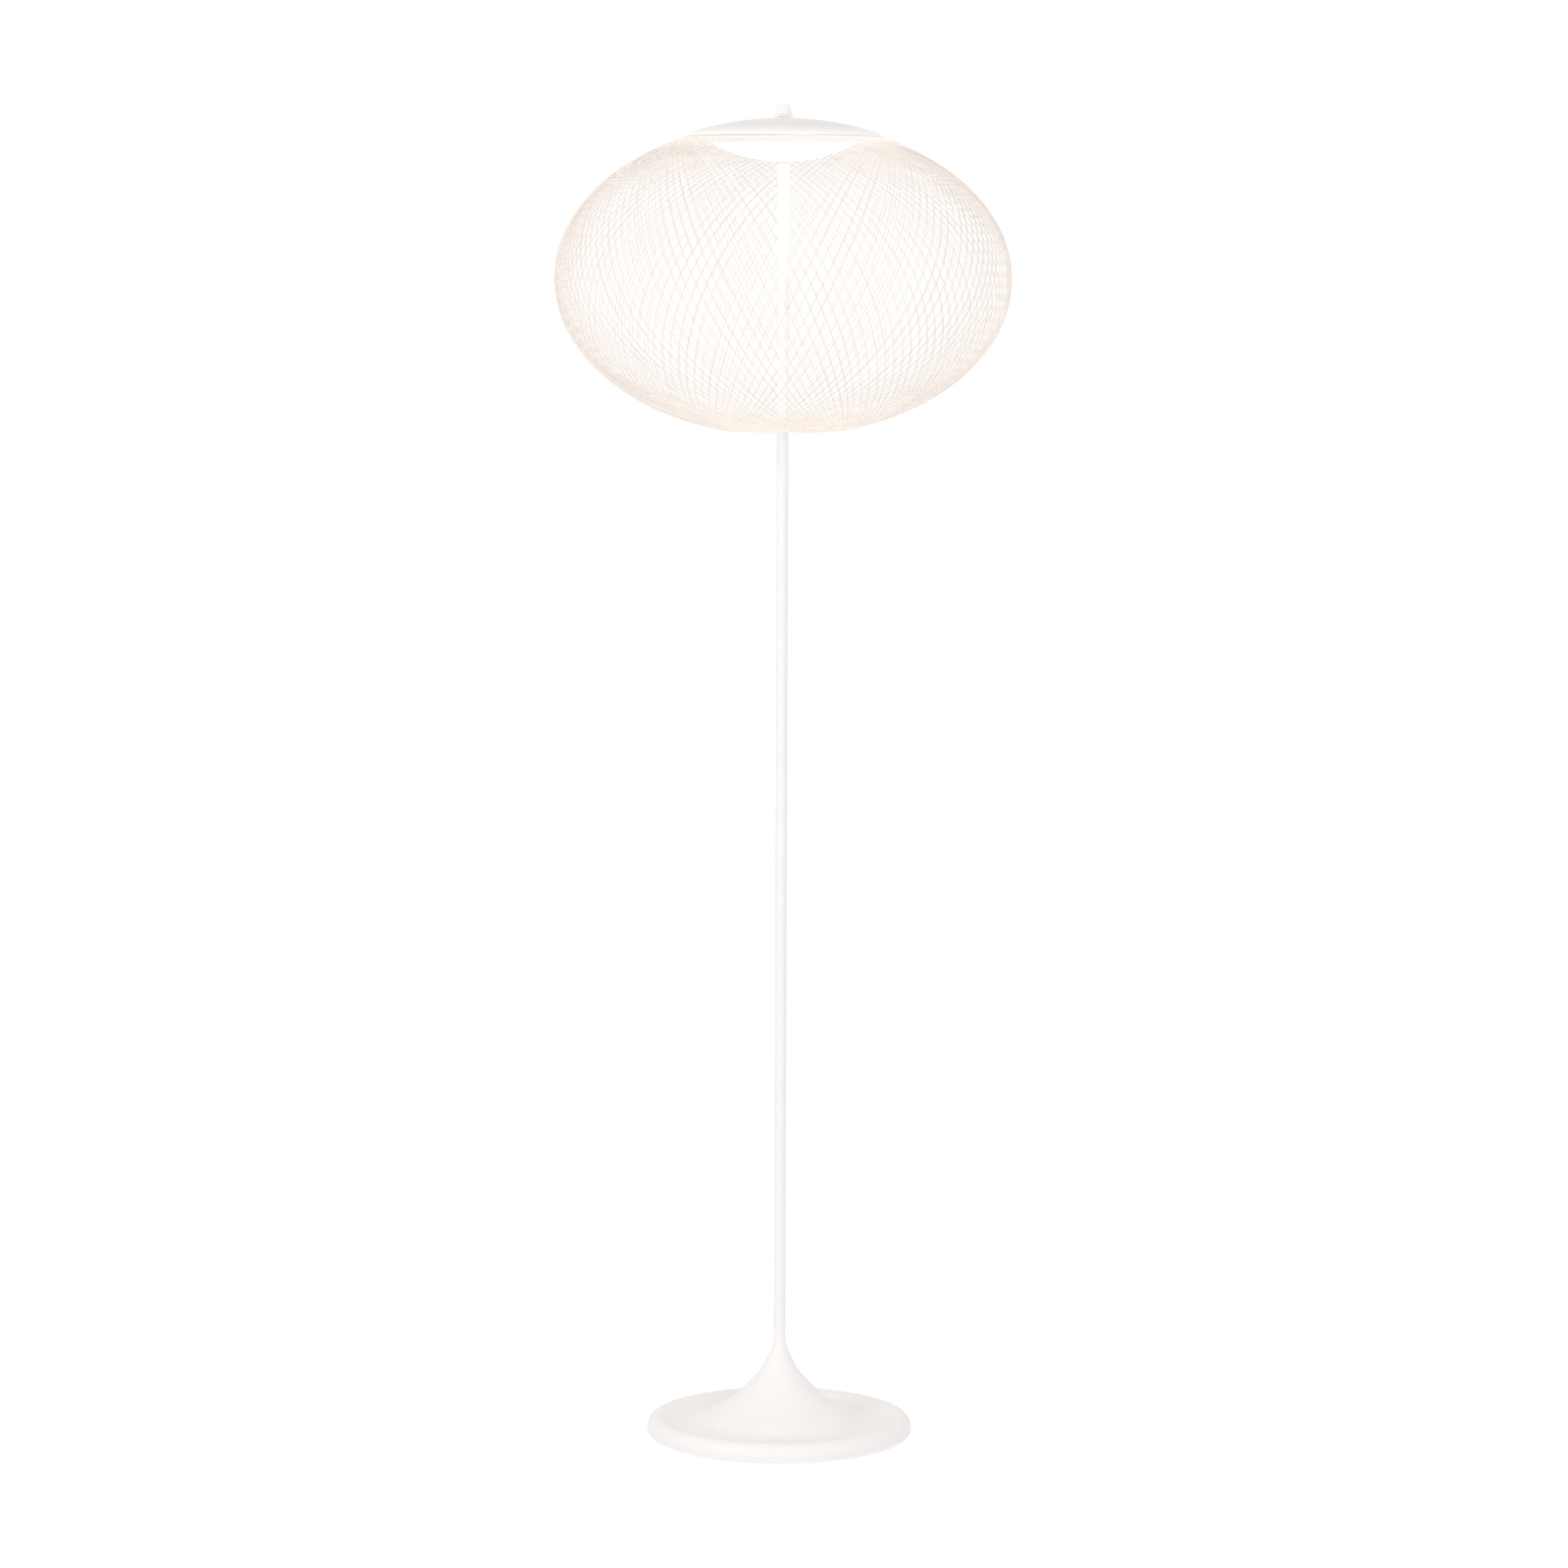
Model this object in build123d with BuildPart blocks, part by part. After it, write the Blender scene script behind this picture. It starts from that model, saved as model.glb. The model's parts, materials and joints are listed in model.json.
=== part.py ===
from build123d import *
import os
from math import acos, degrees, hypot, radians, sqrt, tan

os.makedirs("parts", exist_ok=True)

# Globe floor lamp. Millimetres, +Z up, the floor at zero and the pole on the Z axis.
# The rear of the lamp, where the supply lead enters the foot, looks along +Y.

# Clearances
seat_gap = 0.3  # between a curved or soft piece and what carries it
fit_gap = 0.05  # between a round piece and the hole that holds it
slide_gap = 0.08  # between a sliding piece and its guide
overrun = 5.0  # how far a cut runs past the face that it opens

# Foot shell: a spun trumpet that runs out into a dished disc with a rolled rim
foot_radius = 186.0
foot_under_width = 8.0
foot_edge_height = 1.0
foot_lip_width = 2.5
foot_rim_width = 14.0
foot_crest_height = 27.0
foot_dish_width = 32.0
foot_valley_height = 19.5
foot_wall = 3.0
foot_height = 150.0
foot_neck_length = 15.0
flare_radius_shares = [0.047, 0.136, 0.290, 0.459, 0.697]
flare_height_shares = [0.840, 0.639, 0.437, 0.260, 0.100]

# Floor pad, bottom plate and their screws
pad_thickness = 2.0
pad_edge_gap = 3.5
pad_inner_radius = 62.0
plate_thickness = 1.5
plate_screw_radius = 2.0
plate_screw_head_radius = 3.4
plate_screw_head_angle = 90.0
plate_screw_length = 12.0
plate_screw_circle_radius = 45.0
plate_screw_count = 4
plate_screw_angle = 45.0

# Ballast disc with a boss that fills the trumpet
ballast_edge_gap = 10.5
boss_foot_radius = 30.0
recess_radius = 17.0
recess_height = 28.0
slot_width = 17.0

# Tie rod with its nut and washer, and the insert that joins the pole to the foot
rod_radius = 5.0
rod_bore_radius = 3.4
rod_length_in_pole = 33.0
rod_nut_flats = 17.0
rod_nut_height = 5.5
rod_nut_standout = 1.5
rod_washer_radius = 14.0
rod_washer_thickness = 1.5
insert_length_in_foot = 38.0
insert_length_in_pole = 40.0

# Supply inlet: gland, gland nut and terminal block
gland_bore_radius = 3.5
gland_barrel_radius = 5.5
gland_flange_radius = 7.5
gland_flange_thickness = 2.5
gland_flange_standoff = 0.2
gland_barrel_length = 20.0
gland_nut_radius = 6.8
gland_nut_length = 4.3
gland_nut_setback = 11.2
gland_plate_gap = 0.2
terminal_width = 15.0
terminal_length = 24.0
terminal_roof_gap = 1.7
terminal_distance = 38.0
terminal_screw_radius = 1.8
terminal_screw_depth = 4.0
terminal_screw_spacing = 10.0

# Pole tube and the hub at its top
pole_radius = 8.0
pole_wall = 1.2
pole_edge_break = 0.4
hub_radius = 24.0
hub_flange_thickness = 4.0
hub_spigot_length = 40.0
hub_screw_radius = 2.0
hub_screw_head_radius = 3.5
hub_screw_head_height = 2.4
hub_screw_circle_radius = 16.0
hub_screw_count = 3
hub_screw_angle = 60.0
hub_bore_radius = 3.4

# Lead inside the pole
lead_radius = 2.0
lead_height = 9.5
lead_lower_bend_radius = 12.0
lead_upper_bend_radius = 6.0
lead_clearance = 0.2

# Wound shade: the thin wall of a flattened globe, open at a top ring and a bottom ring
shade_radius = 315.0
shade_half_height = 215.0
shade_centre_height = 1618.5
shade_top_radius = 134.0
shade_bottom_radius = 76.0
shade_wall = 1.5

# Carrier plate under the cap, and the ring that holds the shade and the bowl
carrier_thickness = 2.5
carrier_edge_gap = 2.2
carrier_lead_hole_radius = 6.0
ring_thickness = 3.5
ring_width = 7.4
ring_lip_width = 2.5
ring_screw_radius = 2.0
ring_screw_head_radius = 3.5
ring_screw_head_height = 2.4
ring_screw_count = 3

# Opal bowl and the seal around the pole
bowl_depth = 33.3
bowl_wall = 2.2
bowl_flange_width = 10.1
bowl_flange_thickness = 2.0
seal_width = 2.6
seal_lip_width = 1.6
seal_lip_thickness = 1.0

# LED board and its packages
board_edge_gap = 3.3
board_inner_radius = 30.0
board_thickness = 1.6
package_size = 3.0
package_thickness = 0.7
outer_package_distance = 14.0
outer_package_count = 24
inner_package_radius = 55.0
inner_package_count = 12

# Cap: a shallow dome with a rolled edge
cap_overhang = 1.8
cap_roll_width = 7.3
cap_roll_height = 5.9
cap_rim_rise = 0.5
cap_lip = 0.6
cap_wall = 1.2

# Dimmer body with its bushing, the bracket that carries it, the collar and the nut over the cap
dimmer_width = 24.0
dimmer_height = 13.0
dimmer_floor_gap = 6.9
dimmer_roof = 3.0
dimmer_base = 1.5
chamber_radius = 8.0
bushing_radius = 5.0
bushing_standout = 5.5
bushing_hole_gap = 0.2
bracket_wall = 1.5
bracket_length = 20.0
bracket_side_gap = 8.0
bracket_foot_width = 9.0
bracket_screw_radius = 1.5
bracket_screw_head_radius = 2.8
bracket_screw_head_height = 1.8
bracket_screw_spacing = 12.0
collar_radius = 9.5
collar_thickness = 1.2
cap_nut_flats = 11.0
cap_nut_height = 3.0

# Moving pieces of the dimmer: shaft, plunger and return spring
press_travel = 1.5
shaft_radius = 3.0
shaft_flat_depth = 0.6
shaft_flange_radius = 6.0
shaft_flange_thickness = 1.5
plunger_thickness = 2.0
plunger_boss_radius = 3.5
plunger_boss_height = 2.0
spring_radius = 5.2
spring_wire_radius = 0.35
spring_turns = 3.0

# Knob: a clear bell with a white core
knob_height = 17.4
knob_foot_radius = 15.2
knob_pressed_gap = 0.4
knob_radius_shares = [0.400, 0.585, 0.690, 0.790, 1.000]
knob_height_shares = [1.000, 0.860, 0.450, 0.160, 0.030]
knob_mouth_gap = 0.8
knob_mouth_depth = 2.0
knob_nut_room_radius = 8.3
knob_nut_room_depth = 5.6
core_radius = 6.6
core_length = 8.4
core_edge_round = 1.5
shaft_depth_in_core = 6.4
knob_foot_direction = (1, -0.35)

# Driver on the carrier plate, its screws and the lead from the dimmer
driver_length = 50.0
driver_width = 30.0
driver_height = 10.0
driver_distance = 26.0
driver_edge_round = 1.0
driver_lug_width = 7.0
driver_lug_length = 10.0
driver_lug_thickness = 2.0
driver_screw_radius = 1.5
driver_screw_head_radius = 2.8
driver_screw_head_height = 1.8
dimmer_lead_radius = 1.0
dimmer_lead_height = 8.4


def shade_rise(radius):
    """Height of the globe's outer face above its centre, at a radius."""
    return shade_half_height * sqrt(1 - (radius / shade_radius) ** 2)


def shade_inner_radius(rise):
    """Radius of the globe's inner face, at a height above or below its centre."""
    return (shade_radius - shade_wall) * sqrt(1 - (rise / (shade_half_height - shade_wall)) ** 2)


def shade_side(radius, half_height, top_radius, bottom_radius):
    """Side of the globe's outline, from its bottom ring up to its top ring."""
    bottom_angle = -degrees(acos(bottom_radius / radius))
    top_angle = degrees(acos(top_radius / radius))
    return EllipticalCenterArc(
        (0, shade_centre_height),
        radius,
        half_height,
        start_angle=bottom_angle,
        arc_size=top_angle - bottom_angle,
    )


def arc_radius(half_width, rise):
    """Radius of an arc that rises by an amount over half its width."""
    return (half_width**2 + rise**2) / (2 * rise)


def sphere_fall(radius, sphere_radius):
    """How far a sphere falls from its highest point, at a radius from its axis."""
    return sphere_radius - sqrt(sphere_radius**2 - radius**2)


def bowl_radius(height, wall):
    """Radius of the bowl's face at a height, a wall inside its outer face."""
    return sqrt((bowl_sphere_radius - wall) ** 2 - (bowl_centre_height - height) ** 2)


def bowl_point(radius, wall):
    """Point of the bowl's face at a radius, a wall inside its outer face."""
    return (radius, bowl_centre_height - sqrt((bowl_sphere_radius - wall) ** 2 - radius**2))


def screw(radius, length, head_radius, head_height):
    """Shank and pan head of a screw that stands on its tip at the origin, head up."""
    with Locations((0, 0, length / 2)):
        Cylinder(radius, length)
    with Locations((0, 0, length + head_height / 2)):
        Cylinder(head_radius, head_height)


def save(part, name):
    """Names a finished piece and writes its file."""
    part.label = name
    export_step(part, f"parts/{name}.step")


# Radii and heights of the foot and its fittings
plate_top = pad_thickness + plate_thickness
foot_widest_height = plate_top + gland_plate_gap + gland_nut_radius
foot_floor_radius = foot_radius - foot_under_width
foot_crest_radius = foot_radius - foot_rim_width
foot_valley_radius = foot_crest_radius - foot_dish_width
flare_start_height = foot_height - foot_neck_length
lip_radius = foot_floor_radius - foot_lip_width
ballast_top = foot_valley_height - foot_wall - seat_gap
recess_top = plate_top + recess_height

# Heights and radii of the head: shade, carrier plate, ring, bowl and board
top_rise = shade_rise(shade_top_radius)
bottom_rise = shade_rise(shade_bottom_radius)
head_height = shade_centre_height + top_rise
carrier_top = head_height + carrier_thickness
ring_bottom = head_height - ring_thickness
pole_top = head_height - hub_flange_thickness
bore_radius = pole_radius - pole_wall
ring_outer_radius = shade_inner_radius(top_rise) - seat_gap
ring_inner_radius = ring_outer_radius - ring_width
bowl_flange_radius = ring_inner_radius - seat_gap
bowl_rim_radius = bowl_flange_radius - bowl_flange_width
bowl_sphere_radius = arc_radius(bowl_rim_radius, bowl_depth - bowl_flange_thickness)
bowl_centre_height = head_height - bowl_depth + bowl_sphere_radius

# Cap. Its rise makes room for the lead, the dimmer body and the bracket, whose corners meet the dome
cap_radius = shade_top_radius + cap_overhang
carrier_radius = cap_radius - cap_wall - carrier_edge_gap
cap_roll_start_radius = cap_radius - cap_roll_width
bracket_inner_half = dimmer_width / 2 + bracket_side_gap
bracket_outer_half = bracket_inner_half + bracket_wall
bracket_corner = hypot(bracket_length / 2, bracket_outer_half)
corner_fall_share = (bracket_corner / cap_roll_start_radius) ** 2
cap_stack = carrier_thickness + dimmer_floor_gap + dimmer_height + bracket_wall + fit_gap + cap_wall
cap_rise = (cap_stack - cap_roll_height * corner_fall_share) / (1 - corner_fall_share)
cap_dome_radius = arc_radius(cap_roll_start_radius, cap_rise - cap_roll_height)
apex = head_height + cap_rise
cap_centre_height = apex - cap_dome_radius
knob_bottom = apex + press_travel + knob_pressed_gap
knob_mouth_radius = collar_radius + knob_mouth_gap

# Foot shell. The trumpet and the dish are one smooth curve, and the rim is two elliptical quarters
dish_span = foot_valley_radius - pole_radius
dish_drop = flare_start_height - foot_valley_height
flare_points = [
    (pole_radius + dish_span * r, foot_valley_height + dish_drop * z)
    for r, z in zip(flare_radius_shares, flare_height_shares)
]
rim_rise = foot_crest_height - foot_widest_height
under_drop = foot_widest_height - foot_edge_height

inner_flare_shares = [0.10, 0.25, 0.40, 0.60, 0.80]
inner_valley = (foot_valley_radius, foot_valley_height - foot_wall)
inner_crest = (foot_crest_radius, foot_crest_height - foot_wall)


def inner_point(curve, share):
    """Point of the shell's inner face behind a point of its outer curve."""
    here, along = curve @ share, curve % share
    return (here.X - foot_wall * abs(along.Y), here.Y - foot_wall * abs(along.X))


with BuildPart() as foot_shell:
    with BuildSketch(Plane.XZ):
        with BuildLine():
            neck = Polyline(
                (0, foot_height),
                (pole_radius - pole_edge_break, foot_height),
                (pole_radius, foot_height - pole_edge_break),
                (pole_radius, flare_start_height),
            )
            flare = Spline(
                [neck @ 1] + flare_points + [(foot_valley_radius, foot_valley_height)],
                tangents=[(0, -1), (1, 0)],
            )
            dish = Spline([flare @ 1, (foot_crest_radius, foot_crest_height)], tangents=[(1, 0), (1, 0)])
            rim = EllipticalCenterArc(
                (foot_crest_radius, foot_widest_height),
                foot_rim_width,
                rim_rise,
                start_angle=90,
                arc_size=-90,
            )
            under = EllipticalCenterArc(
                (foot_floor_radius, foot_widest_height),
                foot_under_width,
                under_drop,
                start_angle=0,
                arc_size=-90,
            )
            Polyline(under @ 1, (0, foot_edge_height), neck @ 0)
        make_face()
    revolve(axis=Axis.Z)

    inner_flare_points = [inner_point(flare, share) for share in inner_flare_shares]
    cavity_top = inner_flare_points[0][1]
    with BuildSketch(Plane.XZ):
        with BuildLine():
            inner_flare = Spline(
                inner_flare_points + [inner_valley], tangents=[flare % inner_flare_shares[0], (1, 0)]
            )
            Spline([inner_valley, inner_crest], tangents=[(1, 0), (1, 0)])
            inner_rim = EllipticalCenterArc(
                (foot_crest_radius, foot_widest_height),
                foot_rim_width - foot_wall,
                rim_rise - foot_wall,
                start_angle=90,
                arc_size=-90,
            )
            Polyline(
                inner_rim @ 1,
                (lip_radius, foot_edge_height),
                (0, foot_edge_height),
                (0, cavity_top),
                inner_flare @ 0,
            )
        make_face()
    revolve(axis=Axis.Z, mode=Mode.SUBTRACT)
    with BuildSketch(Plane.XY.offset(foot_height)):
        Circle(bore_radius)
    extrude(amount=cavity_top - foot_height - overrun, mode=Mode.SUBTRACT)
    with BuildSketch(Plane.XZ.offset(-foot_radius - overrun)):
        with Locations((0, foot_widest_height)):
            Circle(gland_barrel_radius + fit_gap)
    extrude(amount=foot_rim_width + overrun, mode=Mode.SUBTRACT)
save(foot_shell.part, "foot_shell")

# Floor pad
pad_outer_radius = lip_radius - pad_edge_gap
with BuildPart() as foot_pad:
    with BuildSketch():
        Circle(pad_outer_radius)
        Circle(pad_inner_radius, mode=Mode.SUBTRACT)
    extrude(amount=pad_thickness)
save(foot_pad.part, "foot_pad")

# Bottom plate, countersunk for its screws
with BuildPart() as bottom_plate:
    with BuildSketch(Plane.XY.offset(pad_thickness)):
        Circle(lip_radius - seat_gap)
    extrude(amount=plate_thickness)
    with Locations(Plane.XY.offset(pad_thickness).rotated((180, 0, 0))):
        with PolarLocations(plate_screw_circle_radius, plate_screw_count, start_angle=plate_screw_angle):
            CounterSinkHole(
                plate_screw_radius + fit_gap,
                plate_screw_head_radius + fit_gap,
                counter_sink_angle=plate_screw_head_angle,
            )
save(bottom_plate.part, "bottom_plate")

# Countersunk screws that hold the plate to the ballast
plate_screw_head_width = plate_screw_head_radius - plate_screw_radius
plate_screw_head_height = plate_screw_head_width / tan(radians(plate_screw_head_angle / 2))
with BuildPart() as plate_screws:
    with PolarLocations(plate_screw_circle_radius, plate_screw_count, start_angle=plate_screw_angle):
        with Locations((0, 0, pad_thickness + plate_screw_length / 2)):
            Cylinder(plate_screw_radius, plate_screw_length)
        with Locations((0, 0, pad_thickness + plate_screw_head_height / 2)):
            Cone(plate_screw_head_radius, plate_screw_radius, plate_screw_head_height)
save(plate_screws.part, "plate_screws")

# Ballast disc. Its boss rises inside the trumpet and seats against the inner face there
ballast_radius = lip_radius - ballast_edge_gap
boss_top_radius = inner_flare_points[1][0] - seat_gap
boss_top = inner_flare_points[1][1]
with BuildPart() as ballast_disc:
    with BuildSketch(Plane.XZ):
        with BuildLine():
            Polyline(
                (recess_radius, plate_top),
                (ballast_radius, plate_top),
                (ballast_radius, ballast_top),
                (boss_foot_radius, ballast_top),
                (boss_top_radius, boss_top),
                (rod_radius + seat_gap, boss_top),
                (rod_radius + seat_gap, recess_top),
                (recess_radius, recess_top),
                close=True,
            )
        make_face()
    revolve(axis=Axis.Z)
    with BuildSketch(Plane.XY.offset(plate_top)):
        with Locations((0, (ballast_radius + overrun) / 2)):
            Rectangle(slot_width, ballast_radius + overrun)
    extrude(amount=ballast_top - plate_top, mode=Mode.SUBTRACT)
    with PolarLocations(plate_screw_circle_radius, plate_screw_count, start_angle=plate_screw_angle):
        with Locations((0, 0, ballast_top)):
            Hole(plate_screw_radius + fit_gap, ballast_top - plate_top + overrun)
save(ballast_disc.part, "ballast_disc")

# Hollow tie rod with its nut and washer under the ballast
nut_top = recess_top - rod_washer_thickness
rod_bottom = nut_top - rod_nut_height - rod_nut_standout
rod_length = foot_height + rod_length_in_pole - rod_bottom
with BuildPart() as tie_rod:
    with BuildSketch(Plane.XY.offset(rod_bottom)):
        Circle(rod_radius)
        Circle(rod_bore_radius, mode=Mode.SUBTRACT)
    extrude(amount=rod_length)
save(tie_rod.part, "tie_rod")

with BuildPart() as tie_rod_washer:
    with BuildSketch(Plane.XY.offset(nut_top)):
        Circle(rod_washer_radius)
        Circle(rod_radius + seat_gap, mode=Mode.SUBTRACT)
    extrude(amount=rod_washer_thickness)
save(tie_rod_washer.part, "tie_rod_washer")

with BuildPart() as tie_rod_nut:
    with BuildSketch(Plane.XY.offset(nut_top - rod_nut_height)):
        RegularPolygon(rod_nut_flats / 2, 6, major_radius=False)
        Circle(rod_radius + fit_gap, mode=Mode.SUBTRACT)
    extrude(amount=rod_nut_height)
save(tie_rod_nut.part, "tie_rod_nut")

# Threaded insert, half in the foot's neck and half in the pole
with BuildPart() as neck_insert:
    with BuildSketch(Plane.XY.offset(foot_height - insert_length_in_foot)):
        Circle(bore_radius - fit_gap)
        Circle(rod_radius + fit_gap, mode=Mode.SUBTRACT)
    extrude(amount=insert_length_in_foot + insert_length_in_pole)
save(neck_insert.part, "neck_insert")

# Gland for the supply lead, in the rear of the rim
flange_face = foot_radius + gland_flange_standoff + gland_flange_thickness
with BuildPart() as cable_gland:
    with BuildSketch(Plane.XZ.offset(-flange_face)):
        with Locations((0, foot_widest_height)):
            Circle(gland_flange_radius)
    extrude(amount=gland_flange_thickness)
    fillet(cable_gland.edges().sort_by(Axis.Y)[-1], gland_flange_thickness / 2)
    with BuildSketch(Plane.XZ.offset(-flange_face)):
        with Locations((0, foot_widest_height)):
            Circle(gland_barrel_radius)
    extrude(amount=gland_flange_thickness + gland_barrel_length)
    with BuildSketch(Plane.XZ.offset(-flange_face)):
        with Locations((0, foot_widest_height)):
            Circle(gland_bore_radius)
    extrude(amount=gland_flange_thickness + gland_barrel_length, mode=Mode.SUBTRACT)
save(cable_gland.part, "cable_gland")

with BuildPart() as gland_nut:
    with BuildSketch(Plane.XZ.offset(-(flange_face - gland_nut_setback))):
        with Locations((0, foot_widest_height)):
            Circle(gland_nut_radius)
            Circle(gland_barrel_radius + fit_gap, mode=Mode.SUBTRACT)
    extrude(amount=gland_nut_length)
save(gland_nut.part, "gland_nut")

# Terminal block on the bottom plate, in the slot of the ballast
terminal_height = ballast_top - terminal_roof_gap - plate_top
with BuildPart() as terminal_block:
    with Locations((0, terminal_distance + terminal_length / 2, plate_top + terminal_height / 2)):
        Box(terminal_width, terminal_length, terminal_height)
    with Locations((0, terminal_distance + terminal_length / 2, plate_top + terminal_height)):
        with GridLocations(terminal_width / 2, terminal_screw_spacing, 2, 2):
            Hole(terminal_screw_radius, terminal_screw_depth)
save(terminal_block.part, "terminal_block")

# Pole tube
with BuildPart() as pole_tube:
    with BuildSketch(Plane.XY.offset(foot_height)):
        Circle(pole_radius)
        Circle(bore_radius, mode=Mode.SUBTRACT)
    extrude(amount=pole_top - foot_height)
    chamfer(pole_tube.edges().group_by(Axis.Z)[0].sort_by(SortBy.RADIUS)[-1], pole_edge_break)
save(pole_tube.part, "pole_tube")

# Hub with a spigot in the pole's top and a flange under the carrier plate
with BuildPart() as pole_hub:
    with BuildSketch(Plane.XY.offset(pole_top)):
        Circle(hub_radius)
    extrude(amount=hub_flange_thickness)
    with BuildSketch(Plane.XY.offset(pole_top)):
        Circle(bore_radius - fit_gap)
    extrude(amount=-hub_spigot_length)
    with Locations((0, 0, head_height)):
        Hole(hub_bore_radius)
        with PolarLocations(hub_screw_circle_radius, hub_screw_count, start_angle=hub_screw_angle):
            Hole(hub_screw_radius + fit_gap, hub_flange_thickness)
save(pole_hub.part, "pole_hub")

with BuildPart() as hub_screws:
    with Locations((0, 0, pole_top)):
        with PolarLocations(hub_screw_circle_radius, hub_screw_count, start_angle=hub_screw_angle):
            screw(
                hub_screw_radius,
                hub_flange_thickness + carrier_thickness,
                hub_screw_head_radius,
                hub_screw_head_height,
            )
save(hub_screws.part, "hub_screws")

# Lead from the terminal block, up the tie rod and the pole, to the driver
lead_top = carrier_top + lead_radius + lead_clearance
with BuildPart() as inner_lead:
    with BuildLine() as lead_path:
        FilletPolyline(
            (0, terminal_distance, lead_height),
            (0, 0, lead_height),
            (0, 0, lead_top),
            (driver_distance, 0, lead_top),
            radius=[lead_lower_bend_radius, lead_upper_bend_radius],
        )
    with BuildSketch(Plane.XZ.offset(-terminal_distance)):
        with Locations((0, lead_height)):
            Circle(lead_radius)
    sweep(path=lead_path.line)
save(inner_lead.part, "inner_lead")

# Wound shade. Its top edge lies under the carrier plate, and its bottom opening is clear round the pole
with BuildPart() as wound_shade:
    with BuildSketch(Plane.XZ):
        with BuildLine():
            outer_side = shade_side(shade_radius, shade_half_height, shade_top_radius, shade_bottom_radius)
            inner_side = shade_side(
                shade_radius - shade_wall,
                shade_half_height - shade_wall,
                shade_inner_radius(top_rise),
                shade_inner_radius(bottom_rise),
            )
            Line(outer_side @ 0, inner_side @ 0)
            Line(outer_side @ 1, inner_side @ 1)
        make_face()
    revolve(axis=Axis.Z)
save(wound_shade.part, "wound_shade")

# Ring that holds the shade's top edge and the bowl's flange up to the carrier plate
ring_lip_radius = ring_inner_radius - ring_lip_width
ring_lip_top = head_height - bowl_flange_thickness - fit_gap
ring_screw_circle_radius = (ring_inner_radius + ring_outer_radius) / 2
with BuildPart() as shade_ring:
    with BuildSketch(Plane.XZ):
        with BuildLine():
            Polyline(
                (ring_lip_radius, ring_bottom),
                (ring_outer_radius, ring_bottom),
                (ring_outer_radius, head_height),
                (ring_inner_radius, head_height),
                (ring_inner_radius, ring_lip_top),
                (ring_lip_radius, ring_lip_top),
                close=True,
            )
        make_face()
    revolve(axis=Axis.Z)
    with Locations((0, 0, head_height)):
        with PolarLocations(ring_screw_circle_radius, ring_screw_count):
            Hole(ring_screw_radius + fit_gap, ring_thickness + overrun)
save(shade_ring.part, "shade_ring")

# Screws that hold the ring, driven from below
with BuildPart() as ring_screws:
    with Locations(Plane.XY.offset(carrier_top).rotated((180, 0, 0))):
        with PolarLocations(ring_screw_circle_radius, ring_screw_count):
            screw(
                ring_screw_radius,
                carrier_thickness + ring_thickness,
                ring_screw_head_radius,
                ring_screw_head_height,
            )
save(ring_screws.part, "ring_screws")

# Carrier plate, which also spreads the heat of the LED board
bracket_screw_distance = bracket_outer_half + bracket_foot_width / 2
driver_middle = driver_distance + driver_length / 2
driver_screw_distance = (driver_width + driver_lug_width) / 2
with BuildPart() as carrier_plate:
    with BuildSketch(Plane.XY.offset(head_height)):
        Circle(carrier_radius)
        Circle(carrier_lead_hole_radius, mode=Mode.SUBTRACT)
        with PolarLocations(hub_screw_circle_radius, hub_screw_count, start_angle=hub_screw_angle):
            Circle(hub_screw_radius + fit_gap, mode=Mode.SUBTRACT)
        with PolarLocations(ring_screw_circle_radius, ring_screw_count):
            Circle(ring_screw_radius + fit_gap, mode=Mode.SUBTRACT)
        with GridLocations(bracket_screw_spacing, 2 * bracket_screw_distance, 2, 2):
            Circle(bracket_screw_radius + fit_gap, mode=Mode.SUBTRACT)
        with Locations((driver_middle, driver_screw_distance), (driver_middle, -driver_screw_distance)):
            Circle(driver_screw_radius + fit_gap, mode=Mode.SUBTRACT)
    extrude(amount=carrier_thickness)
save(carrier_plate.part, "carrier_plate")

# LED board under the carrier plate, and its packages in two circles
board_bottom = head_height - board_thickness
board_outer_radius = bowl_radius(board_bottom, bowl_wall) - board_edge_gap
outer_package_radius = board_outer_radius - outer_package_distance
with BuildPart() as led_board:
    with BuildSketch(Plane.XY.offset(board_bottom)):
        Circle(board_outer_radius)
        Circle(board_inner_radius, mode=Mode.SUBTRACT)
    extrude(amount=board_thickness)
save(led_board.part, "led_board")

with BuildPart() as led_packages:
    with BuildSketch(Plane.XY.offset(board_bottom)):
        with PolarLocations(outer_package_radius, outer_package_count):
            Rectangle(package_size, package_size)
        with PolarLocations(inner_package_radius, inner_package_count):
            Rectangle(package_size, package_size)
    extrude(amount=-package_thickness)
save(led_packages.part, "led_packages")

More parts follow.
